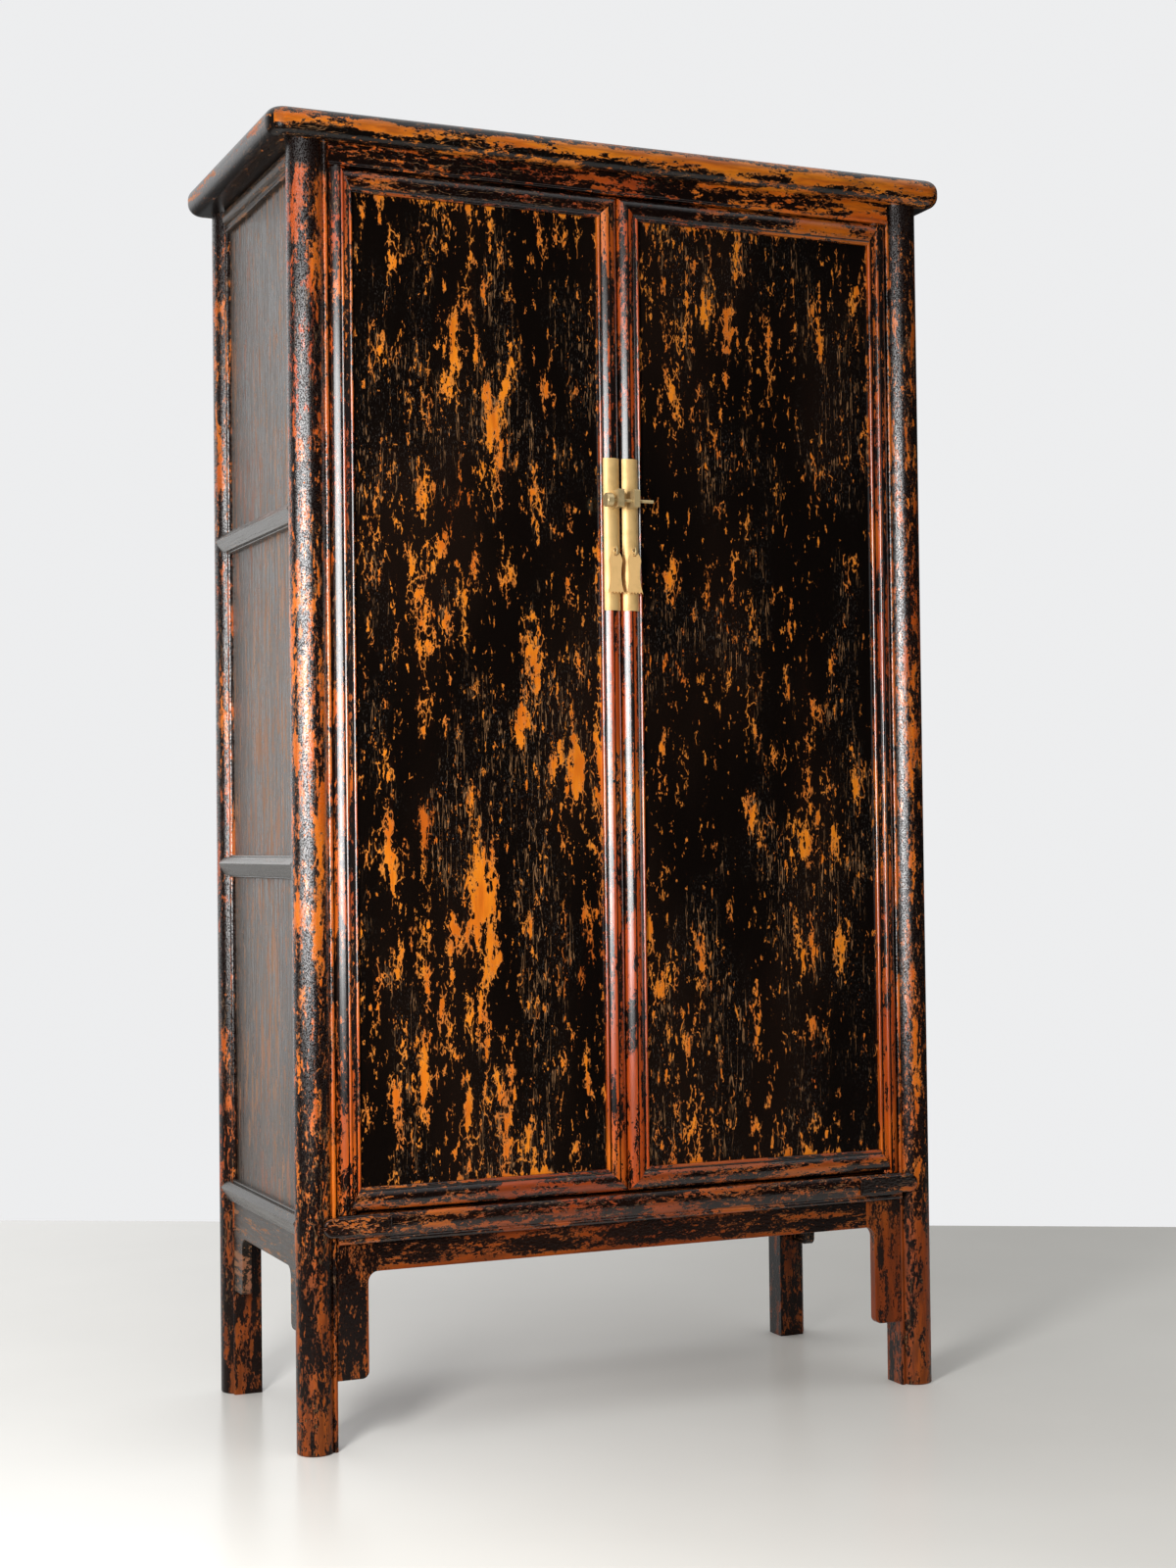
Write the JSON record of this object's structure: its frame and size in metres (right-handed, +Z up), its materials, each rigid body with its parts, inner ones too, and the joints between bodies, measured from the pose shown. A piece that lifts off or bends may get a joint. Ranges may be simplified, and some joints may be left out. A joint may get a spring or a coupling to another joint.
{
  "type": "lacquered wooden cabinet",
  "caption": "Tall lacquered cabinet with rounded corner posts, an overhanging top, panelled doors on wooden pivots, shelves inside and brass pulls locked by a sliding pin.",
  "frame": {"origin": "centre of the bounding box in plan, on the floor", "axes": "+Z up, +X to the right seen from the front, the doors face -Y"},
  "size_m": [1.044, 0.4832, 1.8],
  "materials": {
    "front_lacquer": "worn black gloss lacquer with orange undercoat showing",
    "side_lacquer": "dulled grey-brown lacquer",
    "inner_wood": "plain oiled wood",
    "brass": "satin"
  },
  "bodies": {
    "carcass": {"apron_back": "front_lacquer", "apron_front": "front_lacquer", "apron_left": "side_lacquer", "apron_right": "side_lacquer", "back_panel_lower": "inner_wood", "back_panel_upper": "inner_wood", "back_rail_middle": "inner_wood", "bottom_rail_back": "front_lacquer", "bottom_rail_front": "front_lacquer", "cabinet_floor": "inner_wood", "frieze_back": "front_lacquer", "frieze_front": "front_lacquer", "frieze_left": "side_lacquer", "frieze_right": "side_lacquer", "pivot_block_left": "front_lacquer", "pivot_block_right": "front_lacquer", "post_back_left": "front_lacquer", "post_back_right": "front_lacquer", "post_front_left": "front_lacquer", "post_front_right": "front_lacquer", "shelf_lower": "inner_wood", "shelf_upper": "inner_wood", "side_panel_left_lower": "side_lacquer", "side_panel_left_middle": "side_lacquer", "side_panel_left_upper": "side_lacquer", "side_panel_right_lower": "side_lacquer", "side_panel_right_middle": "side_lacquer", "side_panel_right_upper": "side_lacquer", "side_rail_left_lower": "side_lacquer", "side_rail_left_middle": "side_lacquer", "side_rail_left_upper": "side_lacquer", "side_rail_right_lower": "side_lacquer", "side_rail_right_middle": "side_lacquer", "side_rail_right_upper": "side_lacquer", "spandrel_front_left": "front_lacquer", "spandrel_front_right": "front_lacquer", "top_frame_back": "front_lacquer", "top_frame_front": "front_lacquer", "top_frame_left": "front_lacquer", "top_frame_right": "front_lacquer", "top_panel": "front_lacquer"},
    "left_door": {"left_door_bottom_rail": "front_lacquer", "left_door_lock_eye": "brass", "left_door_lock_plate": "brass", "left_door_meeting_stile": "front_lacquer", "left_door_panel": "front_lacquer", "left_door_pivot_stile": "front_lacquer", "left_door_ring_eye": "brass", "left_door_top_rail": "front_lacquer"},
    "right_door": {"right_door_bottom_rail": "front_lacquer", "right_door_lock_eye": "brass", "right_door_lock_plate": "brass", "right_door_meeting_stile": "front_lacquer", "right_door_panel": "front_lacquer", "right_door_pivot_stile": "front_lacquer", "right_door_ring_eye": "brass", "right_door_top_rail": "front_lacquer"},
    "lock_pin": {"lock_pin": "brass"},
    "left_pull": {"left_door_drop_pull": "brass"},
    "right_pull": {"right_door_drop_pull": "brass"}
  },
  "joints": [
    {"name": "left_door_pivot", "type": "hinge", "parent": "carcass", "child": "left_door", "pos_m": [-0.42, -0.2004, 1], "axis": [0, 0, -1], "range_deg": [0, 95]},
    {"name": "right_door_pivot", "type": "hinge", "parent": "carcass", "child": "right_door", "pos_m": [0.42, -0.2004, 1], "axis": [0, 0, 1], "range_deg": [0, 95]},
    {"name": "lock_pin_slide", "type": "slide", "parent": "left_door", "child": "lock_pin", "axis": [-1, 0, 0], "range_m": [0, 0.04]},
    {"name": "left_pull_swing", "type": "hinge", "parent": "left_door", "child": "left_pull", "pos_m": [-0.0215, -0.2216, 1.22114], "axis": [-1, 0, 0], "range_deg": [0, 90]},
    {"name": "right_pull_swing", "type": "hinge", "parent": "right_door", "child": "right_pull", "pos_m": [0.0075, -0.2216, 1.22114], "axis": [-1, 0, 0], "range_deg": [0, 90]}
  ]
}
